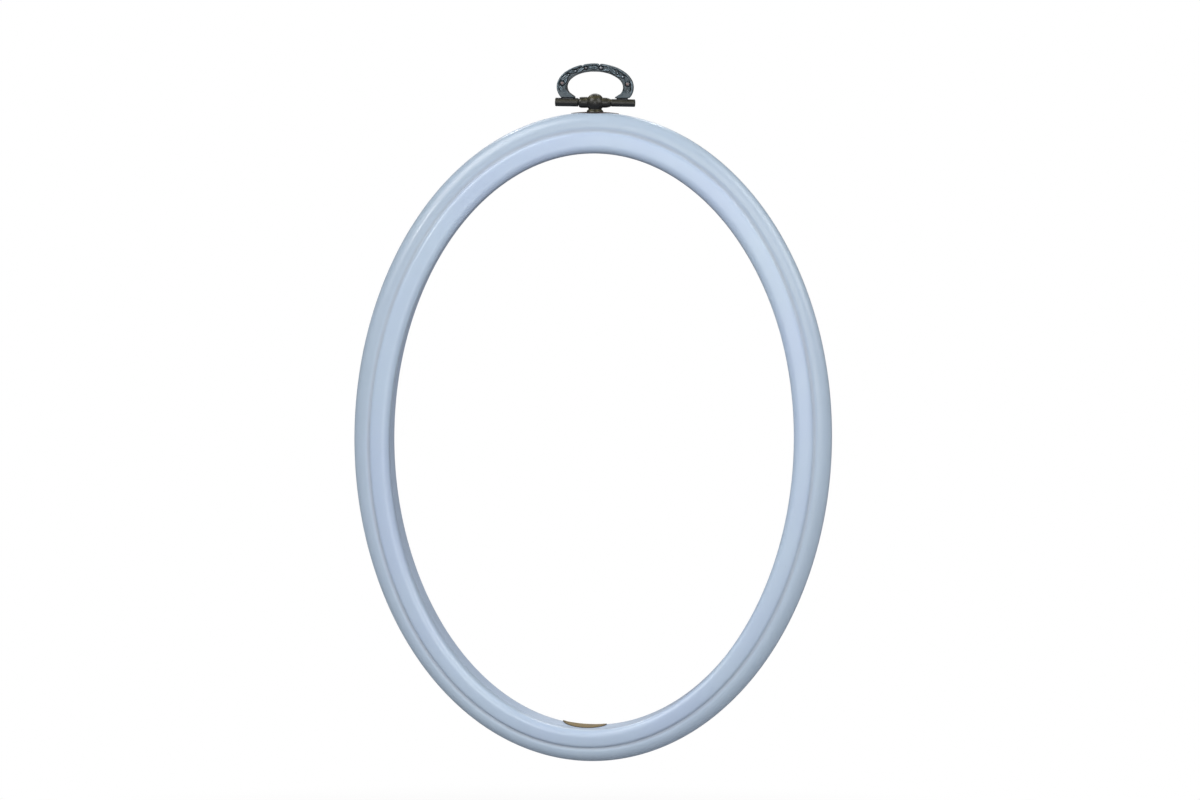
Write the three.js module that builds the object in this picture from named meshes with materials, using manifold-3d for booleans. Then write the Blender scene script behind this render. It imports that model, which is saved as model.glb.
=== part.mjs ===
// Oval embroidery hoop with a swinging hanger screwed to its top edge.
// Millimetres, +Z up, the front of the hoop faces -Y. The origin is the point of the
// hanger's loop that hangs on a nail.

import * as THREE from 'three';
import { mergeVertices } from 'three/addons/utils/BufferGeometryUtils.js';
import Module from 'manifold-3d';

const wasm = await Module();
wasm.setup();

// Oval opening of the hoop, at the back edge of the inner ring
const openingWidth = 126;
const openingHeight = 178.5;

// Whole hoop from its front crests to its flat back
const hoopDepth = 8;

// Share by which the section is deeper at the top of the oval and shallower at its foot
const bandSwell = 0.092;

// Inner ring: a stiff wall that leans in towards the back, with a flange behind
const wallLean = 0.7;
const wallOut = 3.3;
const flangeOut = 5.5;
const flangeThickness = 1.2;
const flangeEdgeRound = 0.35;
const openingEdgeRound = 0.5;

// Outer ring: a soft moulding whose inner band steps down to a round outer bead
const lipStep = 0.1;
const lipDepth = 4;
const lipRoundDepth = 1.6;
const innerBandWidth = 6;
const innerBandCrest = 1.6;
const bandEase = 1.6;
const stepWidth = 0.8;
const stepDrop = 0.36;
const stepEase = 0.35;
const stepSlope = 0.6;
const beadWidth = 5.2;
const beadCrest = 1;
const beadDrop = 0.85;
const grooveDepth = 0.1;
const sideDepth = 0;
const backCornerWidth = 2.3;

// Clearance between pieces that seat on each other, and round the screw and the pin
const fitGap = 0.3;
const runningGap = 0.2;

// Steps round the oval, along each curve of a section and round the small pieces
const hoopSegments = 108;
const curveSteps = 4;
const crownSteps = 8;
const leafSteps = 14;
const loopSteps = 40;
const labelSteps = 24;
const boreSides = 16;
const screwSides = 20;
const rodSides = 24;
const ballSides = 28;
const ballRings = 18;

// Pull of the handles that make a curve a quarter of an oval
const ovalPull = 0.55;

// How far a cutting tool runs past what it cuts, and how close points are welded
const overshoot = 1;
const weldDistance = 1e-4;

// Hanger: a ball on a waisted foot, with a collar each side that carries the hinge pin
const ballRadius = 2.8;
const collarRadius = 1.6;
const collarReach = 5;
const collarChamfer = 0.4;
const footRadius = 2.6;
const footThickness = 0.6;
const neckRadius = 1.8;

// Saddle plate, a curved leaf let into the top of the outer ring
const saddleLength = 15;
const saddleWidth = 4.6;
const saddleThickness = 0.5;
const saddleProud = 0.1;

// Swinging loop: a cast oval arch with flared feet on two rods, turning with the hinge pin
const loopHalfWidth = 11.9;
const loopRise = 7.25;
const loopCentreHeight = 4.8;
const loopSideBand = 3.1;
const loopTopBand = 2.5;
const loopDepth = 2.6;
const loopEdgeRound = 0.4;
const rodRadius = 1.2;
const rodProud = 0.5;
const footHeight = 0.3;
const toeInset = 2.6;
const toeHeight = 1.5;
const jointInset = 0.6;
const pinRadius = 0.6;

// Fixing screw, from the seat of the inner ring up into the foot of the ball
const screwRadius = 0.8;
const screwHeadRadius = 1.25;
const screwHeadHeight = 0.9;
const screwFaceRadius = 0.75;
const screwFaceRise = 0.1;
const screwDomeHeight = 0.55;
const screwSlotWidth = 0.5;
const screwSlotDepth = 0.4;
const screwTipWall = 0.4;

// Foil label on the wall of the inner ring, left of the middle of its foot
const labelLength = 13.8;
const labelDepth = 4.4;
const labelThickness = 0.2;
const labelOffset = -2.9;
const labelGap = 0.15;

const halfWidth = openingWidth / 2;
const halfHeight = openingHeight / 2;
const front = -hoopDepth / 2;
const back = hoopDepth / 2;

const lipOut = wallLean + lipStep;
const lipBack = front + lipDepth;
const grooveOut = lipOut + innerBandWidth;
const bandOut = grooveOut + beadWidth;
const beadTopOut = grooveOut + beadCrest;
const beadFront = front + beadDrop;
const flangeFront = back - flangeThickness;
const seatOut = wallOut + fitGap;
const seatStep = flangeFront - fitGap;

const topSwell = 1 + bandSwell;
const crownHeight = halfHeight + bandOut * topSwell;
const seatHeight = halfHeight + seatOut * topSwell;
const hangerBack = (lipBack + seatStep) / 2;
const axisHeight = crownHeight + ballRadius;
const loopInnerRise = loopRise - loopTopBand;
const hangHeight = axisHeight + loopCentreHeight + loopInnerRise;
const rodReach = loopHalfWidth + rodProud;
const screwRoomTop = axisHeight - pinRadius - runningGap - screwTipWall;
const leafBase = crownHeight - beadWidth;
const leafTop = crownHeight + ballRadius;

// Lays a section point on the oval: how far out from the opening, and how far back
function hoopPoint(angle, out, depth) {
  const normal = new THREE.Vector2(Math.sin(angle) / halfWidth, Math.cos(angle) / halfHeight);
  normal.normalize();
  const reach = out * (1 + bandSwell * normal.y);
  const x = halfWidth * Math.sin(angle) + reach * normal.x;
  const z = halfHeight * Math.cos(angle) + reach * normal.y;
  return new THREE.Vector3(x, depth, z);
}

// A revolved section whose rows are then laid round the oval instead of a circle
function ovalRing(outline) {
  const closed = [...outline, outline[0]];
  const geometry = new THREE.LatheGeometry(closed, hoopSegments);
  const position = geometry.attributes.position;
  for (let index = 0; index < position.count; index += 1) {
    const row = Math.floor(index / closed.length) % hoopSegments;
    const point = closed[index % closed.length];
    const angle = (row / hoopSegments) * 2 * Math.PI;
    const placed = hoopPoint(angle, point.x, point.y);
    position.setXYZ(index, placed.x, placed.y, placed.z);
  }
  return geometry;
}

// Closed geometry as a solid that can be joined and cut
function solid(geometry) {
  const bare = geometry.clone();
  bare.deleteAttribute('normal');
  bare.deleteAttribute('uv');
  const merged = mergeVertices(bare, weldDistance);
  const mesh = new wasm.Mesh({
    numProp: 3,
    vertProperties: new Float32Array(merged.attributes.position.array),
    triVerts: new Uint32Array(merged.index.array),
  });
  mesh.merge();
  return new wasm.Manifold(mesh);
}

function geometryOf(body) {
  const mesh = body.getMesh();
  const geometry = new THREE.BufferGeometry();
  geometry.setAttribute('position', new THREE.BufferAttribute(mesh.vertProperties, 3));
  geometry.setIndex(new THREE.BufferAttribute(mesh.triVerts, 1));
  geometry.computeVertexNormals();
  return geometry;
}

function curvePoints(curves) {
  const points = [];
  for (const curve of curves) {
    points.push(...curve.getPoints(curveSteps).slice(0, -1));
  }
  return points;
}

function bezier(start, first, second, end) {
  return new THREE.CubicBezierCurve(
    new THREE.Vector2(...start),
    new THREE.Vector2(...first),
    new THREE.Vector2(...second),
    new THREE.Vector2(...end),
  );
}

// Quarter of an oval that leaves its start along the depth of the section
function quarterFromSide(start, end) {
  const [startOut, startDepth] = start;
  const [endOut, endDepth] = end;
  const sideHandle = [startOut, startDepth + (endDepth - startDepth) * ovalPull];
  const faceHandle = [endOut - (endOut - startOut) * ovalPull, endDepth];
  return bezier(start, sideHandle, faceHandle, end);
}

// Quarter of an oval that leaves its start along the face of the section
function quarterFromFace(start, end) {
  const [startOut, startDepth] = start;
  const [endOut, endDepth] = end;
  const faceHandle = [startOut + (endOut - startOut) * ovalPull, startDepth];
  const sideHandle = [endOut, endDepth - (endDepth - startDepth) * ovalPull];
  return bezier(start, faceHandle, sideHandle, end);
}

// Outside of the bead, from its front crest over the edge to the flat back
function beadCurves() {
  const side = [bandOut, sideDepth];
  return [
    quarterFromFace([beadTopOut, beadFront], side),
    quarterFromSide(side, [bandOut - backCornerWidth, back]),
  ];
}

// Front of the moulding, round the lip and over the inner band down into the groove
function bandCurves() {
  const crest = [lipOut + innerBandCrest, front];
  const step = [grooveOut - stepWidth, front + stepDrop];
  const groove = [grooveOut, beadFront + grooveDepth];
  const stepFall = stepEase * stepSlope;
  return [
    quarterFromSide([lipOut, front + lipRoundDepth], crest),
    bezier(crest, [crest[0] + bandEase, front], [step[0] - stepEase, step[1] - stepFall], step),
    bezier(step, [step[0] + stepEase, step[1] + stepFall], [grooveOut - stepEase, groove[1]], groove),
  ];
}

// Solid under the outside of the bead, grown or shrunk by an offset
function crownSolid(offset) {
  const points = [];
  for (const curve of beadCurves()) {
    for (let step = 0; step <= crownSteps; step += 1) {
      const at = step / crownSteps;
      const tangent = curve.getTangent(at);
      const point = curve.getPoint(at);
      points.push(new THREE.Vector2(point.x + tangent.y * offset, point.y - tangent.x * offset));
    }
  }
  points.push(new THREE.Vector2(grooveOut, back + offset));
  points.push(new THREE.Vector2(grooveOut, beadFront - offset));
  return solid(ovalRing(points));
}

function verticalCylinder(radius, low, high, sides) {
  const geometry = new THREE.CylinderGeometry(radius, radius, high - low, sides);
  geometry.rotateX(Math.PI / 2);
  geometry.translate(0, hangerBack, (low + high) / 2);
  return solid(geometry);
}

function crossBar(radius, left, right, sides) {
  const geometry = new THREE.CylinderGeometry(radius, radius, right - left, sides);
  geometry.rotateZ(Math.PI / 2);
  geometry.translate((left + right) / 2, hangerBack, axisHeight);
  return solid(geometry);
}

// Upright prism with a leaf outline, centred on the hanger
function leafPrism(length, width, low, high) {
  const leaf = new THREE.Shape();
  leaf.moveTo(-length / 2, 0);
  leaf.quadraticCurveTo(0, width, length / 2, 0);
  leaf.quadraticCurveTo(0, -width, -length / 2, 0);
  const options = { depth: high - low, bevelEnabled: false, curveSegments: leafSteps };
  const geometry = new THREE.ExtrudeGeometry(leaf, options);
  geometry.translate(0, hangerBack, low);
  return solid(geometry);
}

function innerRing() {
  const wallFront = lipBack + fitGap;
  const edgeCut = openingEdgeRound * (1 - Math.SQRT1_2);
  const outline = [
    new THREE.Vector2(wallLean, wallFront),
    new THREE.Vector2(wallOut, wallFront),
    new THREE.Vector2(wallOut, flangeFront),
    new THREE.Vector2(flangeOut, flangeFront),
    new THREE.Vector2(flangeOut, back - flangeEdgeRound),
    new THREE.Vector2(flangeOut - flangeEdgeRound, back),
    new THREE.Vector2(openingEdgeRound, back),
    new THREE.Vector2(edgeCut, back - edgeCut),
    new THREE.Vector2(0, back - openingEdgeRound),
  ];
  return solid(ovalRing(outline));
}

// The seat of the inner ring is its section grown by the fit, open to the back
function outerRing() {
  const flangeSeatOut = flangeOut + fitGap;
  const outline = [
    new THREE.Vector2(lipOut, lipBack),
    ...curvePoints(bandCurves()),
    new THREE.Vector2(grooveOut, beadFront + grooveDepth),
    ...curvePoints(beadCurves()),
    new THREE.Vector2(bandOut - backCornerWidth, back),
    new THREE.Vector2(flangeSeatOut, back),
    new THREE.Vector2(flangeSeatOut, seatStep),
    new THREE.Vector2(seatOut, seatStep),
    new THREE.Vector2(seatOut, lipBack),
  ];
  const recessDepth = fitGap + saddleThickness - saddleProud;
  const tipGap = 2 * fitGap;
  const recess = leafPrism(saddleLength + 2 * tipGap, saddleWidth + 2 * fitGap, leafBase, leafTop);
  const headTop = seatHeight + screwHeadHeight + fitGap;
  const counterbore = verticalCylinder(screwHeadRadius + fitGap, seatHeight - fitGap, headTop, screwSides);
  const screwHole = verticalCylinder(screwRadius + runningGap, seatHeight, leafTop, boreSides);
  return solid(ovalRing(outline))
    .subtract(recess.subtract(crownSolid(-recessDepth)))
    .subtract(counterbore)
    .subtract(screwHole);
}

function saddlePlate() {
  const outside = crownSolid(saddleProud);
  const inside = crownSolid(saddleProud - saddleThickness);
  const leaf = leafPrism(saddleLength, saddleWidth, leafBase, leafTop);
  const hole = verticalCylinder(screwRadius + runningGap, seatHeight, axisHeight, boreSides);
  return leaf.intersect(outside.subtract(inside)).subtract(hole);
}

// Ball, collars and foot cast in one, bored across for the pin and up for the screw
function hangerHub() {
  const profile = [
    new THREE.Vector2(0, -collarReach),
    new THREE.Vector2(collarRadius - collarChamfer, -collarReach),
    new THREE.Vector2(collarRadius, -collarReach + collarChamfer),
    new THREE.Vector2(collarRadius, collarReach - collarChamfer),
    new THREE.Vector2(collarRadius - collarChamfer, collarReach),
    new THREE.Vector2(0, collarReach),
  ];
  const collars = new THREE.LatheGeometry(profile, rodSides);
  collars.rotateZ(-Math.PI / 2);
  collars.translate(0, hangerBack, axisHeight);
  const ball = new THREE.SphereGeometry(ballRadius, ballSides, ballRings);
  ball.rotateX(Math.PI / 2);
  ball.translate(0, hangerBack, axisHeight);

  const underside = saddleProud + fitGap;
  const column = verticalCylinder(footRadius, crownHeight - ballRadius, axisHeight, ballSides);
  const neck = verticalCylinder(neckRadius, crownHeight - ballRadius, axisHeight, rodSides);
  const foot = column
    .intersect(crownSolid(underside + footThickness))
    .add(neck)
    .subtract(crownSolid(underside));
  const boreReach = collarReach + overshoot;
  const pinBore = crossBar(pinRadius + runningGap, -boreReach, boreReach, boreSides);
  const screwHole = verticalCylinder(screwRadius + runningGap, seatHeight, screwRoomTop, boreSides);
  return solid(collars).add(solid(ball)).add(foot).subtract(pinBore).subtract(screwHole);
}

// Front outline of the cast loop, round its outside and back along its inside
function loopOutline() {
  const innerHalf = loopHalfWidth - loopSideBand;
  const bottom = rodRadius + footHeight;
  const outerStart = Math.asin((bottom - loopCentreHeight) / loopRise);
  const toeLevel = rodRadius + footHeight + toeHeight;
  const innerStart = Math.asin((toeLevel - loopCentreHeight) / loopInnerRise);
  const toeTip = innerHalf - toeInset;
  const outline = new THREE.Shape();
  outline.absellipse(0, loopCentreHeight, loopHalfWidth, loopRise, outerStart, Math.PI - outerStart, false);
  outline.lineTo(-toeTip, bottom);
  outline.absellipse(0, loopCentreHeight, innerHalf, loopInnerRise, Math.PI - innerStart, innerStart, true);
  outline.lineTo(toeTip, bottom);
  outline.closePath();
  return outline;
}

function hangerLoop() {
  const options = {
    depth: loopDepth - 2 * loopEdgeRound,
    bevelThickness: loopEdgeRound,
    bevelSize: loopEdgeRound,
    bevelOffset: -loopEdgeRound,
    bevelSegments: 2,
    curveSegments: loopSteps,
  };
  const arch = new THREE.ExtrudeGeometry(loopOutline(), options);
  arch.rotateX(Math.PI / 2);
  arch.translate(0, hangerBack + loopDepth / 2 - loopEdgeRound, axisHeight);
  let loop = solid(arch);

  const innerHalf = loopHalfWidth - loopSideBand;
  const jointIn = innerHalf - toeInset + jointInset;
  const jointOut = loopHalfWidth - 2 * jointInset;
  for (const side of [-1, 1]) {
    const joint = new THREE.BoxGeometry(jointOut - jointIn, 2 * rodRadius - jointInset, rodRadius + 2 * footHeight);
    joint.translate((side * (jointIn + jointOut)) / 2, hangerBack, axisHeight + (rodRadius + 2 * footHeight) / 2);
    const ends = [side * (collarReach + fitGap), side * rodReach].sort((a, b) => a - b);
    loop = loop.add(solid(joint)).add(crossBar(rodRadius, ends[0], ends[1], rodSides));
  }
  const boreReach = rodReach + overshoot;
  return loop.subtract(crossBar(pinRadius + runningGap, -boreReach, boreReach, boreSides));
}

function hingePin() {
  return crossBar(pinRadius, -rodReach + runningGap, rodReach - runningGap, boreSides);
}

// Slotted screw with a low domed head, head down in the seat of the inner ring
function fixingScrew() {
  const bearing = seatHeight + screwHeadHeight;
  const tip = screwRoomTop - fitGap;
  const profile = [
    new THREE.Vector2(0, seatHeight),
    new THREE.Vector2(screwFaceRadius, seatHeight + screwFaceRise),
    new THREE.Vector2(screwHeadRadius, seatHeight + screwDomeHeight),
    new THREE.Vector2(screwHeadRadius, bearing),
    new THREE.Vector2(screwRadius, bearing),
    new THREE.Vector2(screwRadius, tip - screwRadius / 2),
    new THREE.Vector2(screwRadius / 2, tip),
    new THREE.Vector2(0, tip),
  ];
  const body = new THREE.LatheGeometry(profile, screwSides);
  body.rotateX(Math.PI / 2);
  body.translate(0, hangerBack, 0);
  const slot = new THREE.BoxGeometry(4 * screwHeadRadius, screwSlotWidth, 2 * screwSlotDepth);
  slot.translate(0, hangerBack, seatHeight);
  return solid(body).subtract(solid(slot));
}

// Half-oval of foil whose straight edge follows the back edge of the opening
function foilLabel() {
  const slope = wallLean / (back - openingEdgeRound - lipBack - fitGap);
  const rearEdge = back - openingEdgeRound;
  const leanTo = (depth) => (rearEdge - depth) * slope;
  const frontEdge = lipBack;
  const shell = [
    new THREE.Vector2(leanTo(frontEdge) - labelGap - labelThickness, frontEdge),
    new THREE.Vector2(leanTo(frontEdge) - labelGap, frontEdge),
    new THREE.Vector2(-labelGap, rearEdge),
    new THREE.Vector2(-labelGap - labelThickness, rearEdge),
  ];
  const outline = new THREE.Shape();
  outline.absellipse(labelOffset, rearEdge, labelLength / 2, labelDepth, Math.PI, 2 * Math.PI, false);
  outline.closePath();
  const options = { depth: halfHeight, bevelEnabled: false, curveSegments: labelSteps };
  const patch = new THREE.ExtrudeGeometry(outline, options);
  patch.translate(0, 0, -halfHeight - halfHeight / 2);
  return solid(ovalRing(shell)).intersect(solid(patch));
}

const ringPlastic = { color: 0xb9c6d6, roughness: 0.3, metalness: 0 };
const wallPlastic = { color: 0xa9adb2, roughness: 0.4, metalness: 0 };
const agedBrass = { color: 0x4a4a3c, roughness: 0.45, metalness: 0.9 };
const agedPewter = { color: 0x5c686e, roughness: 0.5, metalness: 0.9 };
const screwBrass = { color: 0x9a8450, roughness: 0.4, metalness: 1 };
const goldFoil = { color: 0x8c7439, roughness: 0.35, metalness: 0.8 };

const pieces = [
  ['outer_ring', outerRing, ringPlastic],
  ['inner_ring', innerRing, wallPlastic],
  ['hanger_hub', hangerHub, agedBrass],
  ['hanger_saddle', saddlePlate, agedBrass],
  ['hanger_loop', hangerLoop, agedPewter],
  ['hinge_pin', hingePin, agedBrass],
  ['fixing_screw', fixingScrew, screwBrass],
  ['foil_label', foilLabel, goldFoil],
];

const hoop = new THREE.Group();
for (const [name, make, finish] of pieces) {
  const mesh = new THREE.Mesh(geometryOf(make()), new THREE.MeshStandardMaterial(finish));
  mesh.name = name;
  hoop.add(mesh);
}
hoop.position.set(0, -hangerBack, -hangHeight);

export default hoop;
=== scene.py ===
"""Oval embroidery hoop with a swinging cast hanger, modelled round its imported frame.

The front of the hoop faces -Y and its long axis is Z. The origin is the inside top of
the hanger's loop, where a nail carries the hoop.
"""

import math

import bpy
import numpy as np
from bpy.props import FloatProperty, FloatVectorProperty, IntProperty, PointerProperty
from mathutils import Matrix, Vector, noise


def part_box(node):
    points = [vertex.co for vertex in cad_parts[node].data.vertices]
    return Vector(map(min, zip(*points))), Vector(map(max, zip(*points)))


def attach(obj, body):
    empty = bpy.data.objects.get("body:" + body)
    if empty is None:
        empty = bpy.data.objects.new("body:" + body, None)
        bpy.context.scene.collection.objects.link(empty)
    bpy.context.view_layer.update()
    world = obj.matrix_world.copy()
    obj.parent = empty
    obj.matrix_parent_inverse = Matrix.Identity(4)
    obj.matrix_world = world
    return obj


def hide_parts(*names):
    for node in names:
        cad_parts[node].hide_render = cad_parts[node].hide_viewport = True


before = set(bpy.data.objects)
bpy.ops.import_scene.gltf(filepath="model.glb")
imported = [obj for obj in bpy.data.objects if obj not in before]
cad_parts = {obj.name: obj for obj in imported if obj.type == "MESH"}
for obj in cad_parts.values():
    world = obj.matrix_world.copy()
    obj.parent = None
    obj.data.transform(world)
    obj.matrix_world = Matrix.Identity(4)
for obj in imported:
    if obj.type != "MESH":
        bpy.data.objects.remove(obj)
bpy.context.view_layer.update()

bl_info = {
    "name": "Embroidery hoop",
    "version": (1, 0, 0),
    "blender": (4, 5, 0),
    "location": "View3D > Sidebar > Hoop",
    "description": "Oval embroidery hoop with a cast hanger on a ball foot",
    "category": "Add Mesh",
}

MM = 0.001
TURN = 2 * math.pi
MERGE = 1e-7

# Radius of a section spun round before its ring is laid on an oval
SPIN_RADIUS = 0.1
# Length of a curve's handles that rounds a quarter of an oval, as a share of its side
OVAL_PULL = 0.55
# Most of an edge that the rounding of a corner takes
FILLET_SHARE = 0.45

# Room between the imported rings, round the saddle plate, under the foot and round the screw's head
RING_ROOM = 0.3 * MM
PLATE_ROOM = 0.06 * MM
FOOT_ROOM = 0.02 * MM
HEAD_ROOM = 0.3 * MM
# Depth of the recess for the screw's head, and radius of the holes for its shank
HEAD_RECESS = 1.2 * MM
SCREW_HOLE = 1.0 * MM
# How far under the pin's bore the screw's hole and the screw end
SCREW_STOP = 0.4 * MM
SCREW_END = 0.75 * MM
# Height of the screw's head, depth of its thread, and half the width and the depth of its slot
HEAD_HEIGHT = 0.9 * MM
THREAD_DEPTH = 0.22 * MM
SLOT_HALF = 0.25 * MM
SLOT_DEPTH = 0.4 * MM
# How far the pin ends inside the rods, and the room round its peened ends
PIN_INSET = 0.2 * MM
PIN_ROOM = 0.03 * MM
# From the top of the rods to the soles of the loop's feet
SOLE_LIFT = 0.3 * MM
# Voxels of the castings' remesh. The loop's keep it under 200,000 triangles.
HUB_VOXEL = 0.075 * MM
LOOP_VOXEL = 0.088 * MM


def length(name, description, millimetres):
    return FloatProperty(
        name=name, description=description, default=millimetres * MM, precision=5, unit="LENGTH"
    )


def swing(name, description, degrees):
    return FloatProperty(
        name=name, description=description, default=math.radians(degrees), subtype="ANGLE"
    )


def share(name, description, default):
    return FloatProperty(name=name, description=description, default=default, min=0, subtype="FACTOR")


def linear(value):
    value /= 255
    return value / 12.92 if value <= 0.04045 else ((value + 0.055) / 1.055) ** 2.4


def seen(red, green, blue):
    """A colour as a screen shows it, in Blender's linear values."""
    return (linear(red), linear(green), linear(blue))


def colour(name, description, red, green, blue):
    return FloatVectorProperty(
        name=name, description=description, default=seen(red, green, blue), min=0, max=1, subtype="COLOR"
    )


class HoopRingSettings(bpy.types.PropertyGroup):
    """Sizes and colours of the two rings."""

    opening_width: length("Opening width", "Across the back edge of the inner ring", 126)
    opening_height: length("Opening height", "Along the oval, at the back edge of the inner ring", 178.5)
    depth: length("Depth", "From the front crests to the flat back", 8)
    swell: share("Swell", "How much deeper the section is at the top of the oval", 0.092)
    twist: share("Twist", "How far the front is drawn round the oval against the back", 0.095)
    spread: share("Spread", "How far the lip is drawn out at the oval's ends and in at its sides", 0.02)
    sag: share("Sag", "How far the front sags against the back", 0.026)
    spread_out: length("Spread place", "From the opening to the place that the spread leaves alone", 9.5)
    lip_out: length("Lip", "From the opening to the lip of the moulding", 0.6)
    lip_depth: length("Lip depth", "From the front crest to the back of the lip", 4)
    lip_round: length("Lip round", "Depth over which the lip rounds to the front", 1.8)
    band_width: length("Inner band", "From the lip to the groove", 6.32)
    band_crest: length("Band crest", "From the lip to the crest of the inner band", 2.1)
    band_ease: length("Band ease", "Length of the flat start of the band's fall", 1.1)
    step_width: length("Step", "Width of the step between the band and the groove", 0.8)
    step_drop: length("Step drop", "From the band's crest back to the middle of the step", 0.46)
    step_ease: length("Step ease", "Length of the bends at the step", 0.42)
    step_slope: share("Step slope", "Slope of the step at its middle", 0.6)
    bead_width: length("Bead", "From the groove to the outer edge", 5.06)
    bead_crest: length("Bead crest", "From the groove to the crest of the bead", 1.3)
    bead_drop: length("Bead drop", "How far the bead lies behind the inner band", 0.9)
    groove_depth: length("Groove", "Depth of the groove under the bead", 0.1)
    side_depth: length("Side", "Place of the widest point behind the middle", 0)
    back_corner: length("Back corner", "Width of the round corner at the back", 2.3)
    wall_out: length("Wall", "From the opening to the outside of the inner wall", 3.3)
    flange_out: length("Flange", "From the opening to the edge of the back flange", 5.5)
    flange_thickness: length("Flange thickness", "Thickness of the back flange", 1.2)
    wall_lean: length("Lean", "How far the inner wall leans in towards the back", 0.7)
    fit: length("Fit", "Room between the two rings", 0.08)
    corner: length("Corner", "Rounding of the moulded corners", 0.3)
    steps: IntProperty(name="Steps", description="Steps round the oval", default=480, min=32)
    vinyl: colour("Vinyl", "Colour of the soft moulding", 175, 191, 208)
    vinyl_cool: colour("Cool vinyl", "Second colour of its soft mottling", 172, 187, 208)
    bead_vinyl: colour("Bead vinyl", "Greyer tone of the handled bead", 163, 178, 192)
    # Grey towards which the groove is darkened, also the colour of the fine specks
    groove_grey: colour("Dust", "Dust that gathers in the groove", 150, 154, 160)
    wall: colour("Wall", "Colour of the stiff inner ring", 166, 180, 199)


class HoopHangerSettings(bpy.types.PropertyGroup):
    """Sizes and colours of the hanger."""

    hinge_drop: length("Hinge drop", "From the nail down to the hinge", 9.55)
    ball_radius: length("Ball", "Radius of the ball", 2.8)
    collar_radius: length("Collar", "Radius of the collars beside the ball", 1.6)
    collar_reach: length("Collar reach", "From the middle to the collar's end", 5)
    foot_radius: length("Foot", "Radius of the draped foot", 2.6)
    foot_thickness: length("Foot thickness", "Thickness of the foot at its edge", 0.6)
    neck_radius: length("Neck", "Radius of the neck under the ball", 1.8)
    saddle_length: length("Saddle length", "Length of the leaf-shaped plate", 15)
    saddle_width: length("Saddle width", "Width of the leaf-shaped plate", 4.6)
    saddle_thickness: length("Saddle thickness", "Thickness of the plate", 0.5)
    saddle_proud: length("Saddle proud", "How far the plate stands proud of the bead", 0.2)
    saddle_tone: colour("Saddle tone", "Reddish brown tarnish of the plate", 62, 46, 46)
    loop_half_width: length("Loop half width", "From the middle to the loop's side", 11.9)
    loop_rise: length("Loop rise", "From the loop's centre to its top", 7.25)
    loop_centre: length("Loop centre", "Height of the loop's centre over the hinge", 4.8)
    side_band: length("Side band", "Width of the loop's band at the sides", 3.1)
    top_band: length("Top band", "Width of the loop's band at the top", 2.5)
    loop_depth: length("Loop depth", "Thickness of the loop, front to back", 2.6)
    rod_radius: length("Rod", "Radius of the rods", 1.2)
    rod_reach: length("Rod reach", "From the middle to the rod's end", 12.4)
    bore_radius: length("Bore", "Radius of the bores for the pin and the screw", 0.8)
    pin_radius: length("Pin", "Radius of the hinge pin", 0.6)
    screw_radius: length("Screw", "Radius over the screw's thread", 0.8)
    head_radius: length("Screw head", "Radius of the screw's head", 1.25)
    thread_pitch: length("Pitch", "Pitch of the screw's thread", 0.45)
    patina: colour("Patina", "Dark patina in the hollows", 15, 16, 18)
    brass: colour("Brass", "Aged brass of the ball and the rods", 38, 37, 28)
    # Also the colour of the painted highlight on what leans upwards on the ball, its foot and the pin
    brass_worn_and_lit: colour("Worn brass", "Brass worn bright on the high spots", 112, 106, 74)
    pewter: colour("Pewter", "Blue grey of the cast loop", 56, 67, 73)
    pewter_worn: colour("Worn pewter", "Casting worn bright on the high spots", 160, 180, 192)
    copper: colour("Copper", "Warm metal that shows on the tops of the berries", 128, 104, 98)
    screw_brass: colour("Screw brass", "Plain turned brass of the screw", 168, 146, 92)


class HoopLabelSettings(bpy.types.PropertyGroup):
    """Size, place and colour of the foil label."""

    label_length: length("Length", "Along the back edge of the opening", 13.9)
    label_depth: length("Depth", "From the label's straight edge to its round front", 2.91)
    margin: length("Margin", "From the wall's back edge to the label's straight edge", 0.5)
    thickness: length("Thickness", "Thickness of the foil and its paper", 0.16)
    offset: length("Offset", "From the middle of the foot, to the right", -1.75)
    gap: length("Glue", "From the wall to the back of the paper", 0.02)
    foil: colour("Foil", "Colour of the foil", 96, 79, 37)
    foil_dark: colour("Tarnish", "Tarnish at the label's ends", 60, 48, 30)


class HoopStageSettings(bpy.types.PropertyGroup):
    """Floor, light and camera."""

    floor_drop: length("Floor drop", "From the hoop down to the floor", 90)
    distance: length("Distance", "From the camera to the hoop", 1500)
    millimetres_per_pixel: FloatProperty(
        name="Scale", description="Size of a pixel at the hoop, in millimetres", default=0.3112
    )
    azimuth: swing("Azimuth", "View from the right", 9)
    elevation: swing("Elevation", "View from above", 5.6)
    roll: swing("Roll", "Lean of the camera to its left", 0.55)
    world_light: share("World", "Light from all round", 0.2)
    key_light: share("Key", "Light from the upper left", 0.67)
    front_light: share("Front", "Light from the front", 0.43)
    back_light: share("Back light", "Light from behind and above", 0.22)
    side_light: share("Side", "Light from the upper right", 0.58)
    floor: colour("Floor", "Colour of the floor", 244, 244, 244)
    floor_bounce: colour("Bounce", "Colour of the light that the floor throws back", 144, 146, 152)


# Modelling

def deselect():
    """Leaves nothing selected for the next operator."""
    for item in bpy.context.selected_objects:
        item.select_set(False)


def take(piece):
    """Selects one piece and makes it the active one."""
    deselect()
    piece.select_set(True)
    bpy.context.view_layer.objects.active = piece


def added(name):
    """Names the object that an operator has just made."""
    piece = bpy.context.object
    piece.name = piece.data.name = name
    return piece


def edit_all():
    """Goes into edit mode with the whole mesh selected."""
    bpy.ops.object.mode_set(mode="EDIT")
    bpy.ops.mesh.select_all(action="SELECT")


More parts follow.
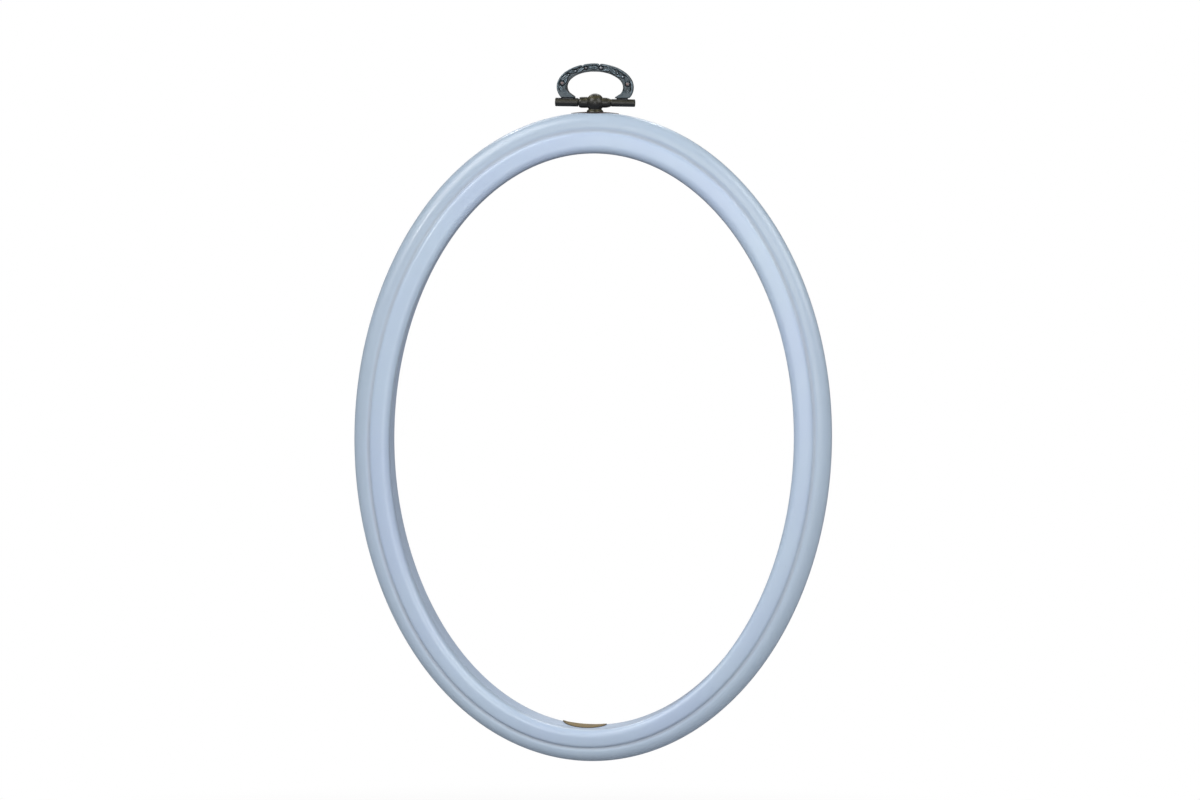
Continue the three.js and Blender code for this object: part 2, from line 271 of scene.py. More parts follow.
def close_mesh():
    """Closes seams and poles, turns every face outwards and leaves edit mode."""
    bpy.ops.mesh.select_all(action="SELECT")
    bpy.ops.mesh.remove_doubles(threshold=MERGE)
    bpy.ops.mesh.dissolve_degenerate(threshold=MERGE)
    bpy.ops.mesh.delete_loose()
    bpy.ops.mesh.select_all(action="SELECT")
    bpy.ops.mesh.normals_make_consistent(inside=False)
    bpy.ops.object.mode_set(mode="OBJECT")


def draw_out(reach):
    """Extrudes the whole of the new mesh by a vector and closes it."""
    edit_all()
    bpy.ops.mesh.extrude_region_move(TRANSFORM_OT_translate={"value": reach})
    close_mesh()


def turned(name, outline, steps, axis, centre=(0, 0, 0)):
    """Spins a closed outline of (distance from the axis, place along it) right round."""
    axis, centre = Vector(axis), Vector(centre)
    side = Vector((0, 0, 1)) if abs(axis.z) < 0.5 else Vector((1, 0, 0))
    deselect()
    bpy.ops.mesh.primitive_circle_add(vertices=len(outline), radius=MM, location=(0, 0, 0))
    piece = added(name)
    for vertex, (distance, along) in zip(piece.data.vertices, outline):
        vertex.co = centre + side * distance + axis * along
    edit_all()
    bpy.ops.mesh.spin(steps=steps, angle=TURN, center=centre, axis=axis)
    close_mesh()
    return piece


def extruded(name, outline, low, high, axis):
    """A filled outline of (x, other) points, drawn out along Y or Z between two levels."""
    deselect()
    bpy.ops.mesh.primitive_circle_add(
        vertices=len(outline), radius=MM, fill_type="NGON", location=(0, 0, 0)
    )
    piece = added(name)
    for vertex, (across, other) in zip(piece.data.vertices, outline):
        vertex.co = (across, low, other) if axis == "Y" else (across, other, low)
    draw_out((0, high - low, 0) if axis == "Y" else (0, 0, high - low))
    return piece


def sheet(name, columns, rows):
    """A flat grid that runs from -1 to 1 both ways, and its points."""
    deselect()
    bpy.ops.mesh.primitive_grid_add(
        x_subdivisions=columns, y_subdivisions=rows, size=2, location=(0, 0, 0)
    )
    piece = added(name)
    return piece, points_of(piece)


def modify(piece, kind, **settings):
    """Adds a modifier and applies it."""
    take(piece)
    modifier = piece.modifiers.new(kind, kind)
    for key, value in settings.items():
        setattr(modifier, key, value)
    bpy.ops.object.modifier_apply(modifier=modifier.name)


def cut(piece, cutter):
    """Takes the cutter's shape out of a piece."""
    modify(piece, "BOOLEAN", operation="DIFFERENCE", solver="EXACT", object=cutter)
    bpy.data.objects.remove(cutter)


def drill(piece, radius, low, high, steps=40, axis=(0, 0, 1), centre=(0, 0, 0)):
    """Cuts a round hole between two places along its axis."""
    outline = [(0, low), (radius, low), (radius, high), (0, high)]
    cut(piece, turned("drill", outline, steps, axis, centre))


def joined(name, pieces):
    """Makes one mesh of several pieces."""
    take(pieces[0])
    for other in pieces[1:]:
        other.select_set(True)
    bpy.ops.object.join()
    return added(name)


def points_of(piece, kind="co"):
    """A row of three numbers for each vertex: its place, or its normal."""
    flat = np.empty(len(piece.data.vertices) * 3)
    piece.data.vertices.foreach_get(kind, flat)
    return flat.reshape(-1, 3)


def normals_of(piece):
    return points_of(piece, "normal")


def place_points(piece, points):
    """Moves each vertex to its new place."""
    piece.data.vertices.foreach_set("co", np.ascontiguousarray(points, dtype=float).ravel())
    piece.data.update()


def store(piece, name, values):
    """Keeps one number for each vertex, for the material to read."""
    attribute = piece.data.attributes.new(name, "FLOAT", "POINT")
    attribute.data.foreach_set("value", np.ascontiguousarray(values, dtype=np.float32))


def averaged(piece, values, passes):
    """Averages a number for each vertex with its neighbours."""
    ends = np.empty(len(piece.data.edges) * 2, dtype=np.int32)
    piece.data.edges.foreach_get("vertices", ends)
    first, second = ends.reshape(-1, 2).T
    degree = np.bincount(ends, minlength=len(values)).clip(1)
    for _ in range(passes):
        total = np.bincount(first, values[second], len(values))
        total += np.bincount(second, values[first], len(values))
        values = 0.5 * values + 0.5 * total / degree
    return values


def proudness(piece, passes):
    """How far each vertex stands proud of the surface round it, in millimetres."""
    points, normals = points_of(piece), normals_of(piece)
    around = np.stack([averaged(piece, points[:, axis], passes) for axis in range(3)], axis=1)
    return ((points - around) * normals).sum(axis=1) / MM


def smoothstep(low, high, value):
    """0 up to low, 1 from high on, and a smooth rise between them."""
    part = np.clip((value - low) / (high - low), 0, 1)
    return part * part * (3 - 2 * part)


def grain(points, size, seed):
    """Smooth noise of a given grain size at each point, from -1 to 1."""
    shift = Vector((seed, 2 * seed, 3 * seed))
    return np.array([noise.noise(Vector(point) / size + shift) for point in points])


def finish_piece(piece, material, body, nodes, angle=40):
    """Gives a piece its shading, its finish and its place in the frame."""
    take(piece)
    bpy.ops.object.shade_smooth_by_angle(angle=math.radians(angle))
    piece.data.materials.clear()
    piece.data.materials.append(material)
    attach(piece, body)
    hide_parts(*nodes)


# The hoop's section and oval

def bezier(corners, steps):
    """Points of a cubic curve, without its last one."""
    first, second, third, last = (np.array(corner) for corner in corners)
    at = (np.arange(steps) / steps)[:, None]
    back = 1 - at
    curve = back**3 * first + 3 * back**2 * at * second + 3 * back * at**2 * third + at**3 * last
    return [tuple(point) for point in curve]


def fillet(corners, steps=4):
    """A closed outline of (x, y, radius) corners, each with a radius rounded off."""
    points = []
    for index, (across, along, radius) in enumerate(corners):
        here = Vector((across, along))
        if radius == 0:
            points.append((across, along))
            continue
        before = Vector(corners[index - 1][:2]) - here
        after = Vector(corners[(index + 1) % len(corners)][:2]) - here
        start = here + before.normalized() * min(radius, before.length * FILLET_SHARE)
        end = here + after.normalized() * min(radius, after.length * FILLET_SHARE)
        for step in range(steps + 1):
            at = step / steps
            point = start * (1 - at) ** 2 + here * 2 * at * (1 - at) + end * at**2
            points.append((point.x, point.y))
    return points


def quarter_from_side(start, end):
    """Quarter of an oval that leaves its start along the depth of the section."""
    (start_out, start_depth), (end_out, end_depth) = start, end
    side_handle = (start_out, start_depth + (end_depth - start_depth) * OVAL_PULL)
    face_handle = (end_out - (end_out - start_out) * OVAL_PULL, end_depth)
    return start, side_handle, face_handle, end


def quarter_from_face(start, end):
    """Quarter of an oval that leaves its start along the face of the section."""
    (start_out, start_depth), (end_out, end_depth) = start, end
    face_handle = (start_out + (end_out - start_out) * OVAL_PULL, start_depth)
    side_handle = (end_out, end_depth - (end_depth - start_depth) * OVAL_PULL)
    return start, face_handle, side_handle, end


def band_curves(ring):
    """Front of the moulding, round the lip and over the inner band down into the groove."""
    front, lip = -ring.depth / 2, ring.lip_out
    crest = (lip + ring.band_crest, front)
    step = (lip + ring.band_width - ring.step_width, front + ring.step_drop)
    groove = (lip + ring.band_width, front + ring.bead_drop + ring.groove_depth)
    ease, fall = ring.step_ease, ring.step_ease * ring.step_slope
    return (
        quarter_from_side((lip, front + ring.lip_round), crest),
        (crest, (crest[0] + ring.band_ease, front), (step[0] - ease, step[1] - fall), step),
        (step, (step[0] + ease, step[1] + fall), (groove[0] - ease, groove[1]), groove),
    )


def bead_curves(ring):
    """Outside of the bead, from its front crest over the edge to the flat back."""
    groove = ring.lip_out + ring.band_width
    crest = (groove + ring.bead_crest, ring.bead_drop - ring.depth / 2)
    side = (groove + ring.bead_width, ring.side_depth)
    corner = (side[0] - ring.back_corner, ring.depth / 2)
    return quarter_from_face(crest, side), quarter_from_side(side, corner)


def outer_section(ring):
    """Moulding with the seat of the inner ring open to the back."""
    back = ring.depth / 2
    lip_back = ring.lip_depth - back
    seat, flange_seat = ring.wall_out + ring.fit, ring.flange_out + ring.fit
    step = back - ring.flange_thickness - ring.fit
    band, bead = band_curves(ring), bead_curves(ring)
    groove, crest = band[-1][-1], bead[0][0]
    half = (crest[0] - groove[0]) / 2
    swale = (groove, (groove[0] + half, groove[1]), (crest[0] - half, crest[1]), crest)
    corners = [(ring.lip_out, lip_back, ring.corner)]
    for curve in (*band, swale, *bead):
        corners += [(*point, 0) for point in bezier(curve, 10)]
    corners += [
        (*bead[-1][-1], 0),
        (flange_seat, back, ring.corner),
        (flange_seat, step, ring.corner / 2),
        (seat, step, ring.corner / 2),
        (seat, lip_back, ring.corner / 2),
    ]
    return fillet(corners)


def inner_section(ring):
    """Leaning wall with a flange at the back."""
    back = ring.depth / 2
    front = ring.lip_depth - back + ring.fit
    flange_front = back - ring.flange_thickness
    return fillet(
        [
            (ring.wall_lean, front, 0.25 * MM),
            (ring.wall_out, front, 0.25 * MM),
            (ring.wall_out, flange_front, 0.15 * MM),
            (ring.flange_out, flange_front, 0.2 * MM),
            (ring.flange_out, back, 0.35 * MM),
            (0.0, back, 0.5 * MM),
        ]
    )


def on_oval(ring, angle, out, depth):
    """Points of the section laid on the oval. The angle runs from the top to the right."""
    wide, high = ring.opening_width / 2, ring.opening_height / 2
    across, up = np.sin(angle) / wide, np.cos(angle) / high
    size = np.hypot(across, up)
    across, up = across / size, up / size
    reach = out * (1 + ring.swell * up) + drawn(ring, angle, out, depth)
    side, top = wide * np.sin(angle) + reach * across, high * np.cos(angle) + reach * up
    return np.stack((side, depth + 0 * angle, top), axis=-1) + hoop_centre(ring)


def drawn(ring, angle, out, depth):
    """How far the stretched moulding is drawn outwards at an angle and a place of its section."""
    level = ring.depth / 2 - depth
    lip = ring.spread * np.cos(2 * angle) * (1 - out / ring.spread_out)
    return level * (ring.twist * np.sin(2 * angle) + lip - ring.sag * np.cos(angle))


def hoop_centre(ring):
    """Centre of the oval in the frame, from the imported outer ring."""
    low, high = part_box("outer_ring")
    edge = ring.lip_out + ring.band_width + ring.bead_width
    foot = ring.opening_height / 2 + edge * (1 - ring.swell)
    return np.array([0, (low.y + high.y) / 2, low.z + foot])


def spun_ring(name, section, steps):
    """A section spun into a round ring, and the x, z, distance out and depth of its points."""
    piece = turned(name, [(SPIN_RADIUS + out, depth) for out, depth in section], steps, (0, 1, 0))
    across, depth, up = points_of(piece).T
    return piece, across, up, np.hypot(across, up) - SPIN_RADIUS, depth


def oval_ring(ring, name, section):
    """A ring spun from a section and laid on the hoop's oval."""
    piece, across, up, out, depth = spun_ring(name, section, ring.steps)
    place_points(piece, on_oval(ring, np.arctan2(across, up), out, depth))
    return piece


def section_place(ring, points):
    """How far out each point of a finished ring lies, in millimetres of the plain section."""
    wide, high = ring.opening_width / 2, ring.opening_height / 2
    spot = points - hoop_centre(ring)
    size = np.hypot(spot[:, 0] / wide, spot[:, 2] / high)
    slope_x, slope_z = spot[:, 0] / wide**2 / size, spot[:, 2] / high**2 / size
    slope = np.hypot(slope_x, slope_z)
    angle = np.arctan2(spot[:, 0] / wide, spot[:, 2] / high)
    reach = (size - 1) / slope
    out = reach.copy()
    for _ in range(3):
        out = (reach - drawn(ring, angle, out, spot[:, 1])) / (1 + ring.swell * slope_z / slope)
    return out / MM


def angle_at(ring, start, across, out, depth):
    """Angle at which a place of the section has the given x, near the top or the foot of the oval."""
    angle, side = np.full_like(across, start), math.cos(start)
    for _ in range(5):
        angle += side * (across - on_oval(ring, angle, out, depth)[:, 0]) / (ring.opening_width / 2)
    return angle


def crown_height(ring, across, along):
    """Height of the bead's outside over the hanger's middle, at x and y."""
    outside = bead_curves(ring)
    outline = [point for curve in outside for point in bezier(curve, 24)] + [outside[-1][-1]]
    outs, depths = np.array(outline).T
    depth = np.clip(along - hoop_centre(ring)[1], depths[0], depths[-1])
    out = np.interp(depth, depths, outs)
    return on_oval(ring, angle_at(ring, 0, across, out, depth), out, depth)[:, 2]


def crown_top(ring):
    """Top of the bead, from which the saddle's recess is cut."""
    edge = ring.lip_out + ring.band_width + ring.bead_width
    return float(on_oval(ring, np.zeros(1), edge, np.full(1, ring.side_depth))[0, 2])


# Shader building

class Wire:
    """A shader output whose arithmetic adds Math nodes."""

    def __init__(self, maker, socket):
        self.maker, self.socket = maker, socket

    def math(self, operation, first, second=0.0):
        """One Math node on two numbers or wires."""
        return self.maker.node("Math", {"operation": operation}, {0: first, 1: second})

    def __add__(self, other):
        return self.math("ADD", self, other)

    def __sub__(self, other):
        return self.math("SUBTRACT", self, other)

    def __rsub__(self, other):
        return self.math("SUBTRACT", other, self)

    def __mul__(self, other):
        return self.math("MULTIPLY", self, other)

    __radd__, __rmul__ = __add__, __mul__

    def rise(self, low, high):
        """Smooth step from 0 at low to 1 at high."""
        return self.maker.node(
            "MapRange",
            {"interpolation_type": "SMOOTHSTEP"},
            {"Value": self, "From Min": low, "From Max": high},
        )


class Nodes:
    """The nodes of a material or of the world."""

    def __init__(self, owner):
        owner.use_nodes = True
        self.tree = owner.node_tree
        self.tree.nodes.clear()

    def node(self, kind, settings=None, inputs=None, output=0):
        """Adds a node, sets it, fills or joins its inputs, and gives the named output."""
        made = self.tree.nodes.new("ShaderNode" + kind)
        for key, value in (settings or {}).items():
            setattr(made, key, value)
        for key, value in (inputs or {}).items():
            if isinstance(value, Wire):
                self.tree.links.new(value.socket, made.inputs[key])
            else:
                made.inputs[key].default_value = value
        return Wire(self, made.outputs[output]) if made.outputs else None


class Finish(Nodes):
    """One material under construction."""

    def __init__(self, name, constants=None):
        self.material = bpy.data.materials.new(name)
        super().__init__(self.material)
        self.place = self.node("TexCoord", output="Object")
        self.constants = constants or {}

    def mix(self, factor, first, second):
        """First colour where the factor is 0, second where it is 1."""
        paints = [value if isinstance(value, Wire) else (*value[:3], 1) for value in (first, second)]
        return self.node("Mix", {"data_type": "RGBA"}, {0: factor, 6: paints[0], 7: paints[1]}, 2)

    def grain(self, millimetres, detail=2.0, stretch=None):
        """Noise whose grain has the given size."""
        place = self.place
        if stretch:
            place = self.node("Mapping", None, {"Vector": place, "Scale": stretch})
        inputs = {"Vector": place, "Scale": 1 / (millimetres * MM), "Detail": detail}
        return self.node("TexNoise", None, inputs)

    def stored(self, name):
        """A number that the mesh keeps for each vertex."""
        return self.node("Attribute", {"attribute_name": name}, None, "Fac")

    def done(self, base, roughness, metallic=0.0, height=None, relief=0.02):
        """Joins colour, roughness and bump height, whose relief is in millimetres."""
        inputs = {"Base Color": base, "Roughness": roughness, "Metallic": metallic, **self.constants}
        if height is not None:
            inputs["Normal"] = self.node(
                "Bump", None, {"Height": height, "Distance": relief * MM, "Strength": 1.0}
            )
        shader = self.node("BsdfPrincipled", None, inputs)
        self.node("OutputMaterial", None, {"Surface": shader})
        return self.material


def toned(tone, factor):
    """A colour made lighter or darker."""
    return tuple(value * factor for value in tone)


def vinyl_finish(ring):
    """Glossy soft vinyl: faint mottling, a darker groove, grey specks, a fine skin and light scuffs."""
    glow = {"Subsurface Weight": 0.3, "Subsurface Radius": (1, 1, 1), "Subsurface Scale": 1.2 * MM}
    gloss = {"Coat Weight": 0.1, "Coat Roughness": 0.1, "IOR": 1.5}
    finish = Finish("glossy_vinyl", glow | gloss)
    across = finish.stored("across")
    groove = (ring.lip_out + ring.band_width) / MM
    mottle = finish.grain(45, 2).rise(0.35, 0.65)
    fine = finish.grain(7, 3).rise(0.3, 0.7)
    base = finish.mix(mottle, ring.vinyl, ring.vinyl_cool)
    base = finish.mix(across.rise(groove - 0.5, groove + 1.5) * 0.8, base, ring.bead_vinyl)
    base = finish.mix(fine * 0.12, base, ring.vinyl_cool)
    # Darker towards the grey in and beside the groove
    near = across.rise(groove - 0.8, groove - 0.1) * (1 - across.rise(groove + 0.1, groove + 0.9))
    base = finish.mix(near * (0.36 + 0.12 * fine), base, ring.groove_grey)
    specks = finish.node(
        "TexVoronoi", {"feature": "F1"}, {"Vector": finish.place, "Scale": 300}, "Distance"
    )
    speck = (1 - specks.rise(0.03, 0.07)) * finish.grain(11).rise(0.6, 0.64)
    base = finish.mix(speck * 0.2, base, ring.groove_grey)
    scuff = finish.grain(0.8, 3, (1, 1, 0.12)).rise(0.62, 0.7) * finish.grain(14).rise(0.5, 0.7)
    roughness = 0.3 + 0.06 * fine + 0.15 * scuff + 0.2 * near
    skin = finish.grain(1.1, 2) + 2.0 * finish.grain(9, 1)
    return finish.done(base, roughness, height=skin, relief=0.015)


def wall_finish(ring):
    """Stiff satin plastic with fine lines left by its mould."""
    finish = Finish("satin_wall_plastic", {"IOR": 1.48})
    shade = finish.grain(22, 3).rise(0.3, 0.7)
    lines = finish.grain(1.6, 3, (0.15, 6, 0.15))
    base = finish.mix(shade * 0.6 + 0.3 * lines, ring.wall, toned(ring.wall, 0.9))
    return finish.done(base, 0.42 + 0.12 * lines, height=lines, relief=0.012)


def metal_finish(name, patina, body, worn_and_lit, top=None, bar=None):
    """Antiqued casting: dark patina in the hollows, a cloudy body colour, worn high spots, and the
    painted highlight and painted shade that each piece stores.

    The loop also has a warm metal on the tops of its berries and another tone on its bar.
    """
    finish = Finish(name, {"IOR": 1.38, "Coat Weight": 0.3, "Coat Roughness": 0.16})
    proud_and_lit, shade = finish.stored("proud_and_lit"), finish.stored("shade")
    cloud = finish.grain(1.7, 3).rise(0.3, 0.7)
    pits = finish.grain(0.35, 3)
    base = finish.mix(cloud * 0.55, body, toned(body, 1.45))
    if bar is not None:
        on_bar = finish.stored("bar")
        base = finish.mix(on_bar, base, finish.mix(cloud * 0.55, bar, toned(bar, 1.45)))
        # On the bar a bright brass tone serves for wear and also paints the lit band along the top of
        # the rods
        worn_and_lit = finish.mix(on_bar, worn_and_lit, toned(bar, 4.5))
    # Worn high spots, together with the painted highlight that the stored value adds to what leans
    # upwards
    wear_and_toplight = proud_and_lit.rise(0.015, 0.08) * finish.grain(0.9, 2).rise(0.38, 0.58)
    base = finish.mix(wear_and_toplight * 0.8, base, worn_and_lit)
    if top is not None:
        base = finish.mix(finish.stored("berry") * 0.7, base, top)
    # Patina in the hollows, joined with the stored painted shade on undersides, inner walls and creases
    patina_and_shade = (1 - proud_and_lit.rise(-0.06, 0.006)) * 0.92
    patina_and_shade = patina_and_shade.math("MAXIMUM", patina_and_shade, shade)
    base = finish.mix(patina_and_shade, base, patina)
    roughness = 0.36 + 0.15 * pits - 0.06 * wear_and_toplight + 0.2 * patina_and_shade
    metallic = 0.3 + 0.2 * wear_and_toplight - 0.25 * patina_and_shade
    return finish.done(base, roughness, metallic, height=pits + 0.6 * cloud, relief=0.02)


def screw_finish(hanger):
    """Plain brass with the fine rings of the lathe."""
    finish = Finish("turned_brass")
    rings = finish.grain(0.5, 3, (0.3, 0.3, 6))
    base = finish.mix(rings, hanger.screw_brass, toned(hanger.screw_brass, 0.7))
    return finish.done(base, 0.3 + 0.15 * rings, 1.0, height=rings, relief=0.01)


def foil_finish(label):
    """Crinkled foil, tarnished towards its ends and along its edge."""
    finish = Finish("gold_foil")
    crinkle = finish.grain(0.9, 3)
    tarnish = (finish.stored("rim") + 0.5 * finish.grain(1.8, 3)).rise(0.75, 1.25)
    base = finish.mix(crinkle.rise(0.4, 0.6), label.foil, toned(label.foil, 1.35))
    base = finish.mix(tarnish, base, label.foil_dark)
    return finish.done(base, 0.34 + 0.25 * crinkle, 0.45, height=crinkle, relief=0.05)


# Operators

class HOOP_OT_outer_ring(bpy.types.Operator):
    """Model the soft moulded outer ring with its groove, bead and seat"""

    bl_idname = "hoop.outer_ring"
    bl_label = "Outer ring"

    def execute(self, context):
        scene = context.scene
        ring, hanger = scene.hoop_ring, scene.hoop_hanger
        piece = oval_ring(ring, "moulded_outer_ring", outer_section(ring))
        floor = hanger.saddle_proud - hanger.saddle_thickness - PLATE_ROOM
        cut(piece, leaf_plate(ring, hanger, "recess", floor, MM, PLATE_ROOM))
        seat = seat_height(ring)
        drill(piece, hanger.head_radius + HEAD_ROOM, seat - MM, seat + HEAD_RECESS, 48)
        drill(piece, SCREW_HOLE, seat, crown_top(ring) + MM)
        store(piece, "across", section_place(ring, points_of(piece)))
        finish_piece(piece, vinyl_finish(ring), "outer", ["outer_ring"], 35)
        return {"FINISHED"}


def seat_height(ring):
    """Underside of the moulding at the top of the oval, where the screw's head lies."""
    centre = hoop_centre(ring)
    return centre[2] + ring.opening_height / 2 + (ring.wall_out + RING_ROOM) * (1 + ring.swell)


def leaf_plate(ring, hanger, name, low, high, room=0):
    """A leaf-shaped plate draped over the crown, between two heights above it, with room round it."""
    piece, grid = sheet(name, 60, 20)
    blunt = 0.02 * MM
    across = grid[:, 0] * (hanger.saddle_length + 2 * room) / 2
    half = (hanger.saddle_width + 2 * room) / 2 * (1 - grid[:, 0] ** 2) + blunt
    along = grid[:, 1] * half
    height = crown_height(ring, across, along) + low
    place_points(piece, np.stack([across, along, height], axis=1))
    draw_out((0, 0, high - low))
    return piece


class HOOP_OT_inner_ring(bpy.types.Operator):
    """Model the stiff inner ring with its leaning wall and back flange"""

    bl_idname = "hoop.inner_ring"
    bl_label = "Inner ring"

    def execute(self, context):
        ring = context.scene.hoop_ring
        piece = oval_ring(ring, "stiff_inner_ring", inner_section(ring))
        finish_piece(piece, wall_finish(ring), "inner", ["inner_ring"], 35)
        return {"FINISHED"}


class HOOP_OT_foil_label(bpy.types.Operator):
    """Stick the half-oval foil label on the inner wall"""

    bl_idname = "hoop.foil_label"
    bl_label = "Foil label"

    def execute(self, context):
        ring, label = context.scene.hoop_ring, context.scene.hoop_label
        piece, grid = sheet("foil_label_patch", 96, 32)
        back = ring.depth / 2 - label.margin
        front = ring.lip_depth - ring.depth / 2
        forward = (grid[:, 1] + 1) / 2
        half = np.sqrt(np.clip(1 - forward**2, 0.0004, 1))
        across = label.offset + grid[:, 0] * half * label.label_length / 2
        depth = back - forward * label.label_depth
        lean = (back - depth) * ring.wall_lean / (back - front)
        radius = np.hypot(grid[:, 0] * half, forward)
        border = np.exp(-(((radius - 0.86) / 0.03) ** 2)) * 0.05 * MM
        left_end = smoothstep(0.8, 1, -grid[:, 0])
        curl = 0.12 * MM * left_end * smoothstep(0.3, 0.9, 1 - forward)
        angle = angle_at(ring, math.pi, across, lean, depth)
        place_points(piece, on_oval(ring, angle, lean - label.gap - curl - border, depth))
        store(piece, "rim", 0.8 * grid[:, 0] ** 2 + 0.25 * smoothstep(0.93, 1, 1 - forward))
        edit_all()
        close_mesh()
        away = 1 if normals_of(piece)[:, 2].mean() > 0 else -1
        modify(piece, "SOLIDIFY", thickness=label.thickness, offset=away, use_even_offset=True)
        finish_piece(piece, foil_finish(label), "inner", ["foil_label"], 40)
        return {"FINISHED"}


def metal_piece(piece, passes=10, painted_light_share=1, shade=0):
    """Stores how proud each spot is and how much painted shade it has, which the metal finishes read.

    What leans upwards gets a painted highlight and what faces down gets painted shade, both scaled by
    the share of painted light.
    """
    up = normals_of(piece)[:, 2]
    # Painted highlight on what leans upwards, where the light from above falls
    painted_toplight = 0.045 * np.exp(-(((up - 0.6) / 0.25) ** 2)) * painted_light_share
    store(piece, "proud_and_lit", averaged(piece, proudness(piece, passes), 1) + painted_toplight)
    # Painted shade on what faces down, away from the light
    under = 0.92 * smoothstep(-0.5, 0.35, -up) * painted_light_share
    store(piece, "shade", np.maximum(under, shade))


# For each collar its way along X, how much wider than the collar's radius it is at its root,
# shoulder and end, how far the end tapers, and the rounding of the shoulder and the end, in mm
COLLARS = (
    (-1, 0.1, 0.1, -0.15, 0.5, 0.3, 0.2),
    (1, 0.05, -0.05, -0.48, 1.2, 0.5, 0.15),
)


def collar(hanger, way, root, shoulder, end, taper, shoulder_round, end_round):
    """One collar beside the ball, turned about the hinge."""
    radius, reach = hanger.collar_radius, hanger.collar_reach
    outline = fillet(
        [
            (0, 0, 0),
            (radius + root * MM, 0, 0),
            (radius + shoulder * MM, reach - taper * MM, shoulder_round * MM),
            (radius + end * MM, reach, end_round * MM),
            (0, reach, 0),
        ]
    )
    return turned("collar", outline, 48, (way, 0, 0), (0, 0, -hanger.hinge_drop))


def draped_foot(ring, hanger, low):
    """Foot and neck under the ball, whose lower part follows the bead."""
    into_ball = -hanger.hinge_drop - 1.6 * MM
    rim, waist, rise = hanger.foot_radius, hanger.neck_radius, hanger.foot_thickness
    outline = fillet(
        [
            (0, low, 0),
            (rim, low, 0.15 * MM),
            (rim - 0.05 * MM, low + 0.55 * rise, 0.2 * MM),
            (waist + 0.25 * MM, low + 1.15 * rise, 0.4 * MM),
            (waist - 0.1 * MM, low + 2.2 * rise, 0.3 * MM),
            (waist + 0.3 * MM, into_ball, 0),
            (0, into_ball, 0),
        ]
    )
    piece = turned("foot", outline, 72, (0, 0, 1))
    modify(piece, "SUBSURF", levels=2, render_levels=2, subdivision_type="SIMPLE")
    points = points_of(piece)
    draped = 1 - smoothstep(low, low + 2.2 * rise, points[:, 2])
    points[:, 2] += draped * (crown_height(ring, points[:, 0], points[:, 1]) - crown_top(ring))
    place_points(piece, points)
    return piece


class HOOP_OT_hanger_hub(bpy.types.Operator):
    """Cast the ball, its collars and the foot that drapes over the bead"""

    bl_idname = "hoop.hanger_hub"
    bl_label = "Ball and foot"

    def execute(self, context):
        scene = context.scene
        ring, hanger = scene.hoop_ring, scene.hoop_hanger
        hinge, ball, bore = -hanger.hinge_drop, hanger.ball_radius, hanger.bore_radius
        low = crown_top(ring) + hanger.saddle_proud + FOOT_ROOM
        half_round = [
            (ball * math.cos(at), ball * math.sin(at))
            for at in np.linspace(-math.pi / 2, math.pi / 2, 33)
        ]
        parts = [turned("ball", half_round, 64, (0, 0, 1), (0, 0, hinge))]
        parts += [collar(hanger, *side) for side in COLLARS]
        parts.append(draped_foot(ring, hanger, low))
        piece = joined("hanger_ball_and_foot", parts)
        modify(piece, "REMESH", mode="VOXEL", voxel_size=HUB_VOXEL)
        through = hanger.collar_reach + MM
        drill(piece, bore, -through, through, 48, (1, 0, 0), (0, 0, hinge))
        drill(piece, SCREW_HOLE, low - 2 * MM, hinge - bore - SCREW_STOP)
        modify(piece, "SMOOTH", factor=0.5, iterations=3)
        points, normals = points_of(piece), normals_of(piece)
        dents = 0.035 * grain(points, 1.6 * MM, 3) + 0.012 * grain(points, 0.5 * MM, 5)
        place_points(piece, points + normals * dents[:, None] * MM)
        metal_piece(piece)
        material = metal_finish("aged_brass_ball", hanger.patina, hanger.brass, hanger.brass_worn_and_lit)
        finish_piece(piece, material, "outer", ["hanger_hub"], 55)
        return {"FINISHED"}


class HOOP_OT_hanger_saddle(bpy.types.Operator):
    """Press the leaf-shaped plate that lies under the foot"""

    bl_idname = "hoop.hanger_saddle"
    bl_label = "Saddle plate"

    def execute(self, context):
        scene = context.scene
        ring, hanger = scene.hoop_ring, scene.hoop_hanger
        low, top = hanger.saddle_proud - hanger.saddle_thickness, crown_top(ring)
        piece = leaf_plate(ring, hanger, "hanger_saddle_leaf", low, hanger.saddle_proud)
        drill(piece, SCREW_HOLE, top - 2 * MM, top + 2 * MM)
        sharp = {"limit_method": "ANGLE", "angle_limit": math.radians(50)}
        modify(piece, "BEVEL", width=0.12 * MM, segments=3, **sharp)
        metal_piece(piece, 4)
        material = metal_finish("aged_brass_plate", hanger.patina, hanger.saddle_tone, hanger.brass)
        finish_piece(piece, material, "outer", ["hanger_saddle"])
        return {"FINISHED"}


# Places on the loop are angles in degrees, from its right side round over the top, and sizes are
# in mm. A berry has its angle and radius.
BERRIES = (
    (9.5, 0.66),
    (33, 0.4),
    (47, 0.34),
    (79.5, 0.54),
    (106, 0.46),
    (126, 0.4),
    (142, 0.32),
    (170, 0.66),
)
# A leaf has its angle, its lean off the band's way in degrees, half its length, half its width
# and how far outwards it is shifted
LEAVES = (
    (21, 16, 1.3, 0.6, 0.35),
    (39, -28, 1.2, 0.5, -0.35),
    (60, 24, 1.7, 0.72, 0.1),
    (69, -20, 1.1, 0.45, -0.3),
    (93, 6, 1.5, 0.6, 0.1),
    (116, -24, 1.3, 0.5, -0.2),
    (134, 28, 1.3, 0.5, 0.35),
    (154, 12, 1.7, 0.66, 0.2),
    (159, -18, 1.2, 0.45, -0.55),
    (-6, 8, 1.1, 0.5, 0.2),
    (186, -8, 1.1, 0.5, 0.2),
)
# Notches in the outer edge
NICKS = (84.5, 109)
NICK_DEPTH = 0.5 * MM
